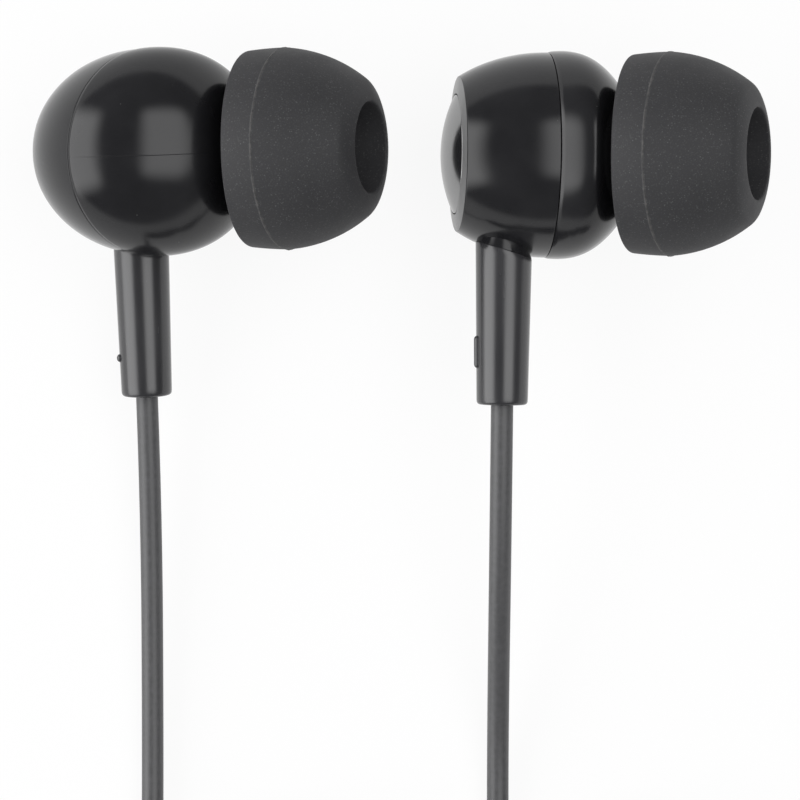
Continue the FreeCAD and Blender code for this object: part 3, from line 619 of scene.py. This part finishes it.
def raised_mark(side, matrix, columns=16, rows=25):
    """Plain ridge moulded along the stem, which tells the two sides apart by touch."""
    start, end = SIDE_MARKS[side]
    facing = matrix.to_3x3().inverted() @ Vector((-math.cos(MARK_LEAN), 0, math.sin(MARK_LEAN)))
    middle = math.atan2(facing.z, facing.x)
    aside = -STEM_SIDE if side == "left" else STEM_SIDE
    half = (end - start) / 2
    points = np.empty((rows, columns, 3))
    for row in range(rows):
        t = -math.cos(math.pi * row / (rows - 1))
        depth = start + half + half * t
        away = max(abs(t) * half - half + MARK_WIDTH / 2, 0.0) / (MARK_WIDTH / 2)
        share = math.sqrt(max(1 - away ** 2, 0.0))
        radius = stem_radius(depth)
        for k in range(columns):
            a = 2 * math.pi * k / columns
            lift = radius - SOFT + share * (MARK_RISE + SOFT) * math.sin(a)
            angle = middle + share * MARK_WIDTH / 2 * math.cos(a) / radius
            points[row, k] = (-STEM_BACK + lift * math.cos(angle), -depth, aside + lift * math.sin(angle))
    return points, flipped(rings_to_faces(rows, columns, False))


# Shapes in the earpiece's own frame: name, what draws it, slot and the node it replaces, if any
BODY_SHAPES = (
    ("front_shell", front_shell, "shell", "front_housing"),
    ("rear_shell", rear_shell, "shell", "rear_housing"),
    ("bezel", bezel, "bezel", "rear_ring"),
    ("domed_disc", domed_disc, "disc", "rear_disc"),
    ("stem", stem_shape, "stem", "strain_relief"),
    ("stem_boss", stem_boss, "shell"),
)

# Shapes on the nozzle's axis: name, what draws it, slot, the node it replaces, body and place along the axis
NOZZLE_SHAPES = (
    ("tip_soft", ear_tip, "tip_silicone", "ear_tip", "{}_tip", TIP_SEAM),
    ("screen", screen_disc, "mesh", "nozzle_mesh", ROOT, NOZZLE_END - MESH_RECESS),
)

pieces = []
for side in ("left", "right"):
    place = bud_matrix(side)
    for name, draw, slot, *replaced in BODY_SHAPES:
        replaced = [f"{side}_{node}" for node in replaced]
        piece = make_piece(f"{side}_{name}", *draw(), place, ROOT, slot, *replaced, mirror=side == "left")
        pieces.append((piece, slot))
    piece = make_piece(side + "_side_mark", *raised_mark(side, place), place, ROOT, "stem")
    pieces.append((piece, "stem"))
    for name, draw, slot, node, body, along in NOZZLE_SHAPES:
        piece = make_piece(f"{side}_{name}", *draw(), nozzle_matrix(side, along), body.format(side), slot,
                           f"{side}_{node}")
        pieces.append((piece, slot))

# Materials


class Finish:
    """A node material on the object's coordinates, or on those of a frame given by its matrix."""

    def __init__(self, name, colour, roughness, frame=None, **constants):
        self.material = bpy.data.materials.new(name)
        self.material.use_nodes = True
        self.tree = self.material.node_tree
        self.shader = self.tree.nodes["Principled BSDF"]
        self.shader.inputs["Base Color"].default_value = (*colour, 1.0)
        self.shader.inputs["Roughness"].default_value = roughness
        for key, value in constants.items():
            self.shader.inputs[key.replace("_", " ")].default_value = value
        self.place = self.tree.nodes.new("ShaderNodeTexCoord").outputs["Object"]
        if frame is not None:
            back = frame.inverted()
            mapping = self.tree.nodes.new("ShaderNodeMapping")
            mapping.inputs["Location"].default_value = back.to_translation()
            mapping.inputs["Rotation"].default_value = back.to_euler()
            self.tree.links.new(self.place, mapping.inputs["Vector"])
            self.place = mapping.outputs["Vector"]
        self.colour = None
        self.normal = None

    def node(self, kind, **settings):
        made = self.tree.nodes.new(kind)
        for key, value in settings.items():
            setattr(made, key, value)
        return made

    def link(self, source, target):
        self.tree.links.new(source, target)

    def noise(self, size, detail=2.0, stretch=None):
        """Noise whose grains are about this many millimetres across."""
        made = self.node("ShaderNodeTexNoise")
        made.inputs["Scale"].default_value = 1.0 / (size * MM)
        made.inputs["Detail"].default_value = detail
        source = self.place
        if stretch:
            mapping = self.node("ShaderNodeMapping")
            mapping.inputs["Scale"].default_value = stretch
            self.link(source, mapping.inputs["Vector"])
            source = mapping.outputs["Vector"]
        self.link(source, made.inputs["Vector"])
        return made.outputs["Fac"]

    def spots(self, size):
        """Distance from the nearest of many points, which lie about this many millimetres apart."""
        made = self.node("ShaderNodeTexVoronoi")
        made.inputs["Scale"].default_value = 1.0 / (size * MM)
        self.link(self.place, made.inputs["Vector"])
        return made.outputs["Distance"]

    def span(self, value, low, high, a=0.0, b=1.0):
        made = self.node("ShaderNodeMapRange")
        for key, number in (("From Min", low), ("From Max", high), ("To Min", a), ("To Max", b)):
            made.inputs[key].default_value = number
        self.link(value, made.inputs["Value"])
        return made.outputs["Result"]

    def math(self, operation, a, b=None):
        made = self.node("ShaderNodeMath", operation=operation)
        for socket, value in zip(made.inputs, (a, b)):
            if value is None:
                continue
            if isinstance(value, (int, float)):
                socket.default_value = value
            else:
                self.link(value, socket)
        return made.outputs[0]

    def axis(self, name):
        made = self.node("ShaderNodeSeparateXYZ")
        self.link(self.place, made.inputs[0])
        return made.outputs[name]

    def tint(self, factor, colour):
        """Lay another colour over the base where the factor is high."""
        base = self.shader.inputs["Base Color"]
        made = self.node("ShaderNodeMix", data_type="RGBA")
        self.link(factor, made.inputs["Factor"])
        if self.colour is None:
            made.inputs[6].default_value = base.default_value
        else:
            self.link(self.colour, made.inputs[6])
        made.inputs[7].default_value = (*colour, 1.0)
        self.colour = made.outputs[2]
        self.link(self.colour, base)

    def rough(self, value):
        self.link(value, self.shader.inputs["Roughness"])

    def bump(self, height, depth, strength=1.0):
        """Relief, this many millimetres deep."""
        made = self.node("ShaderNodeBump")
        made.inputs["Strength"].default_value = strength
        made.inputs["Distance"].default_value = depth * MM
        self.link(height, made.inputs["Height"])
        if self.normal is not None:
            self.link(self.normal, made.inputs["Normal"])
        self.normal = made.outputs["Normal"]
        self.link(self.normal, self.shader.inputs["Normal"])


def shell_finish(name, frame=None, ior=1.42):
    """Glossy black moulding with faint waviness, haze and a few dust specks."""
    f = Finish(name, (0.0105, 0.0105, 0.0118), 0.16, frame, IOR=ior)
    haze = f.noise(3.2, 3.0)
    f.tint(f.span(haze, 0.35, 0.75), (0.015, 0.015, 0.0165))
    specks = f.span(f.spots(0.55), 0.07, 0.035)
    few = f.span(f.noise(0.9, 1.0), 0.62, 0.68)
    dust = f.math("MULTIPLY", specks, few)
    f.tint(dust, (0.09, 0.088, 0.085))
    f.rough(f.math("ADD", f.span(haze, 0.3, 0.7, 0.13, 0.2), f.math("MULTIPLY", dust, 0.3)))
    f.bump(f.noise(1.3, 1.0), 0.004, 0.35)
    if frame is not None:
        line = f.span(f.math("ABSOLUTE", f.axis("Y")), 0.0, 0.04 * MM, 1.0, 0.0)
        f.bump(line, 0.02, 0.6)
    return f.material


def tip_finish(side):
    """Matte charcoal silicone: fine grain, pale specks and a lighter mould seam."""
    f = Finish(side + "_tip_silicone", (0.027, 0.027, 0.029), 0.62, nozzle_matrix(side, TIP_SEAM), IOR=1.36)
    cloud = f.noise(2.4, 3.0)
    f.tint(f.span(cloud, 0.3, 0.75), (0.032, 0.032, 0.034))
    f.tint(f.span(f.noise(0.1, 2.0), 0.55, 0.8, 0.0, 0.8), (0.055, 0.055, 0.057))
    specks = f.span(f.spots(0.17), 0.3, 0.14)
    some = f.span(f.noise(0.3, 2.0), 0.42, 0.62)
    f.tint(f.math("MULTIPLY", f.math("MULTIPLY", specks, some), 0.45), (0.12, 0.12, 0.12))
    seam = f.span(f.math("ABSOLUTE", f.axis("X")), 0.03 * MM, 0.11 * MM, 1.0, 0.0)
    broken = f.span(f.noise(0.3, 3.0), 0.34, 0.66, 0.15, 1.0)
    outside = f.math("MULTIPLY", seam, broken)
    f.tint(f.math("MULTIPLY", outside, 0.6), (0.105, 0.103, 0.099))
    f.rough(f.span(cloud, 0.3, 0.7, 0.56, 0.68))
    f.bump(f.noise(0.11, 2.0), 0.012, 0.5)
    f.bump(f.noise(0.9, 2.0), 0.02, 0.25)
    return f.material


def stem_finish(name, colour, low, high, ior=1.6):
    """Semi-gloss soft moulding with faint flow marks."""
    f = Finish(name, colour, 0.3, IOR=ior)
    flow = f.noise(1.1, 3.0, (1.0, 0.2, 1.0))
    f.tint(f.span(flow, 0.35, 0.7), tuple(c * 1.25 for c in colour))
    specks = f.math("MULTIPLY", f.span(f.spots(0.4), 0.08, 0.04), f.span(f.noise(0.8, 1.0), 0.6, 0.66))
    f.tint(specks, (0.12, 0.12, 0.12))
    f.rough(f.span(flow, 0.3, 0.7, low, high))
    f.bump(f.noise(0.14, 2.0), 0.006, 0.3)
    return f.material


def cord_finish():
    """Satin dark jacket with fine grain along it."""
    f = Finish("cord_jacket", (0.06, 0.06, 0.062), 0.4, IOR=1.5)
    grain = f.noise(0.35, 3.0)
    f.tint(f.span(grain, 0.35, 0.7), (0.075, 0.075, 0.078))
    f.rough(f.span(grain, 0.3, 0.7, 0.38, 0.48))
    f.bump(f.noise(0.12, 2.0), 0.008, 0.35)
    return f.material


def metal_finish(name, colour, roughness, grain=None):
    f = Finish(name, colour, roughness, Metallic=1.0)
    wear = f.noise(1.4, 3.0)
    f.tint(f.span(wear, 0.45, 0.75), tuple(c * 0.86 for c in colour))
    f.rough(f.span(wear, 0.3, 0.7, roughness * 0.8, roughness * 1.3))
    f.bump(f.noise(0.2, 2.0, grain), 0.003, 0.4)
    return f.material


def plain_finish(name, colour, roughness, size=0.3, depth=0.01):
    f = Finish(name, colour, roughness)
    grain = f.noise(size, 3.0)
    f.tint(f.span(grain, 0.35, 0.7), tuple(min(c * 1.22, 1.0) for c in colour))
    f.rough(f.span(grain, 0.3, 0.7, roughness * 0.88, min(roughness * 1.12, 1.0)))
    f.bump(grain, depth, 0.4)
    return f.material


def screen_finish(side):
    """Fine woven steel screen: threads over openings painted dark as painted shade from the bore behind."""
    thread_pitch = 0.16
    place = nozzle_matrix(side, NOZZLE_END)
    f = Finish(side + "_steel_screen", (0.42, 0.42, 0.43), 0.35, place, Metallic=1.0)
    threads = [f.math("SINE", f.math("MULTIPLY", f.axis(name), 2 * math.pi / (thread_pitch * MM)))
               for name in ("Y", "Z")]
    weave = f.math("MAXIMUM", *threads)
    # Painted shade: the openings between the threads are painted near black, where the shaded bore behind
    # the screen would show through
    f.tint(f.span(weave, 0.25, -0.05), (0.01, 0.01, 0.011))
    f.bump(weave, 0.02, 0.8)
    return f.material


finishes = {
    "tip_silicone": tip_finish("right"),
    "left_tip_silicone": tip_finish("left"),
    "left_front": shell_finish("shell_gloss_lined", bud_matrix("left")),
    "shell": shell_finish("shell_gloss"),
    "bezel": stem_finish("bezel_satin", (0.014, 0.014, 0.0155), 0.2, 0.28, 1.4),
    "disc": shell_finish("disc_gloss", ior=3.0),
    "mesh": screen_finish("right"),
    "left_mesh": screen_finish("left"),
    "frame_plastic": plain_finish("basket_plastic", (0.08, 0.08, 0.085), 0.5),
    "steel": metal_finish("zinc_steel", (0.55, 0.55, 0.56), 0.32),
    "magnet": metal_finish("nickel_magnet", (0.46, 0.45, 0.44), 0.22),
    "film": plain_finish("polyester_film", (0.55, 0.53, 0.48), 0.3, 0.6, 0.005),
    "copper": metal_finish("enamelled_copper", (0.72, 0.36, 0.2), 0.3, (8.0, 1.0, 1.0)),
    "damping_paper": plain_finish("acoustic_paper", (0.7, 0.68, 0.62), 0.9, 0.12, 0.02),
    "board": plain_finish("terminal_board", (0.3, 0.22, 0.08), 0.45),
    "cord": cord_finish(),
    "stem": stem_finish("stem_moulding", (0.022, 0.022, 0.024), 0.2, 0.28),
    "tie": plain_finish("tie_band", (0.035, 0.035, 0.036), 0.55, 0.4, 0.02),
    "handle": stem_finish("handle_moulding", (0.028, 0.028, 0.03), 0.36, 0.46),
    "contact": metal_finish("nickel_contact", (0.78, 0.76, 0.73), 0.14, (1.0, 6.0, 1.0)),
    "insulator": plain_finish("insulator_ring", (0.014, 0.014, 0.015), 0.4),
}

for record_part in frame["record"]["subparts"]:
    node = nodes[record_part["node"]]
    material = finishes[record_part["material_slot"]]
    if not node.material_slots:
        node.data.materials.append(material)
    for index in range(len(node.material_slots)):
        node.material_slots[index].material = material

# Pieces of the left side whose finish lies in their own frame
OWN_FINISH = {"left_front_shell": "left_front", "left_tip_soft": "left_tip_silicone",
              "left_screen": "left_mesh"}
for piece, slot in pieces:
    piece.data.materials.append(finishes[OWN_FINISH.get(piece.name, slot)])
for cord in cords:
    cord.data.materials.append(finishes["cord"])

# Floor, world and lights


def product(tree, a, b):
    """Two shares multiplied."""
    made = tree.nodes.new("ShaderNodeMath")
    made.operation = "MULTIPLY"
    tree.links.new(a, made.inputs[0])
    tree.links.new(b, made.inputs[1])
    return made.outputs[0]


def smooth_step(tree, value, start, full):
    """A share that rises smoothly from 0 at start to 1 at full."""
    ramp = tree.nodes.new("ShaderNodeMapRange")
    ramp.interpolation_type = "SMOOTHSTEP"
    ramp.inputs["From Min"].default_value = start
    ramp.inputs["From Max"].default_value = full
    tree.links.new(value, ramp.inputs["Value"])
    return ramp.outputs[0]


def make_floor():
    """Large pale disc: white to the eye and in reflections, with the object's shadow kept near it."""
    count, radius, drop = 96, 4.0, 0.00002
    turns = [2 * math.pi * k / count for k in range(count)]
    rim = [(radius * math.cos(a), radius * math.sin(a), 0.0) for a in turns]
    mesh = bpy.data.meshes.new("floor")
    mesh.from_pydata(rim, [], [tuple(range(count))])
    floor = bpy.data.objects.new("floor", mesh)
    bpy.context.scene.collection.objects.link(floor)
    floor.location = (0, 0, -drop)
    material = bpy.data.materials.new("floor_white")
    material.use_nodes = True
    tree = material.node_tree
    shader = tree.nodes["Principled BSDF"]
    shader.inputs["Base Color"].default_value = (0.86, 0.86, 0.86, 1.0)
    shader.inputs["Roughness"].default_value = 0.8
    shader.inputs["Specular IOR Level"].default_value = 0.0
    glow = tree.nodes.new("ShaderNodeEmission")
    glow.inputs["Strength"].default_value = 1.0
    path = tree.nodes.new("ShaderNodeLightPath")
    seen = path.outputs["Is Camera Ray"]
    for name in ("Is Glossy Ray", "Is Transmission Ray"):
        either = tree.nodes.new("ShaderNodeMath")
        either.operation = "MAXIMUM"
        tree.links.new(seen, either.inputs[0])
        tree.links.new(path.outputs[name], either.inputs[1])
        seen = either.outputs[0]
    place = tree.nodes.new("ShaderNodeTexCoord")
    away = tree.nodes.new("ShaderNodeVectorMath")
    away.operation = "LENGTH"
    tree.links.new(place.outputs["Object"], away.inputs[0])
    even = tree.nodes.new("ShaderNodeMapRange")
    for key, value in (("From Min", 0.15), ("From Max", 0.34), ("To Min", 0.91), ("To Max", 1.0)):
        even.inputs[key].default_value = value
    tree.links.new(away.outputs["Value"], even.inputs["Value"])
    mix = tree.nodes.new("ShaderNodeMixShader")
    tree.links.new(product(tree, seen, even.outputs[0]), mix.inputs[0])
    tree.links.new(shader.outputs[0], mix.inputs[1])
    tree.links.new(glow.outputs[0], mix.inputs[2])
    tree.links.new(mix.outputs[0], tree.nodes["Material Output"].inputs["Surface"])
    mesh.materials.append(material)


def make_world(start=0.09, full=0.22, overhead=(0.2, 0.2, 0.205)):
    """White low down all round, dim overhead, with a fade between two heights."""
    world = bpy.data.worlds.new("studio")
    bpy.context.scene.world = world
    world.use_nodes = True
    tree = world.node_tree
    background = tree.nodes["Background"]
    place = tree.nodes.new("ShaderNodeTexCoord")
    split = tree.nodes.new("ShaderNodeSeparateXYZ")
    tree.links.new(place.outputs["Generated"], split.inputs[0])
    mix = tree.nodes.new("ShaderNodeMix")
    mix.data_type = "RGBA"
    mix.inputs[6].default_value = (1.0, 1.0, 1.0, 1.0)
    mix.inputs[7].default_value = (*overhead, 1.0)
    tree.links.new(smooth_step(tree, split.outputs["Z"], start, full), mix.inputs[0])
    tree.links.new(mix.outputs[2], background.inputs["Color"])
    background.inputs["Strength"].default_value = 1.0


def make_softbox(name, angle, distance, width, length, radiance, y=-0.01):
    """Softbox this far from straight up about the Y axis, in degrees; its light fades at its edges."""
    data = bpy.data.lights.new(name, "AREA")
    data.shape = "RECTANGLE"
    data.size = width
    data.size_y = length
    data.energy = radiance * math.pi * width * length
    data.use_nodes = True
    tree = data.node_tree
    emission = next(n for n in tree.nodes if n.type == "EMISSION")
    split = tree.nodes.new("ShaderNodeSeparateXYZ")
    tree.links.new(tree.nodes.new("ShaderNodeNewGeometry").outputs["Parametric"], split.inputs[0])
    share = None
    for axis, margin in (("X", 0.3), ("Y", 0.24)):
        for start, full in ((0.0, margin), (1.0, 1.0 - margin)):
            ramp = smooth_step(tree, split.outputs[axis], start, full)
            share = ramp if share is None else product(tree, share, ramp)
    tree.links.new(share, emission.inputs["Strength"])
    lamp = bpy.data.objects.new(name, data)
    bpy.context.scene.collection.objects.link(lamp)
    way = math.radians(angle)
    lamp.matrix_world = (Matrix.Translation((distance * math.sin(way), y, distance * math.cos(way)))
                         @ turn(way, "Y"))


make_floor()
make_world()
make_softbox("left_softbox", -63, distance=0.5, width=0.64, length=0.9, radiance=3.4)
make_softbox("right_softbox", 26, distance=0.5, width=0.52, length=0.8, radiance=2.7, y=0.05)
bpy.context.scene.view_settings.view_transform = "Standard"

bpy.context.view_layer.update()
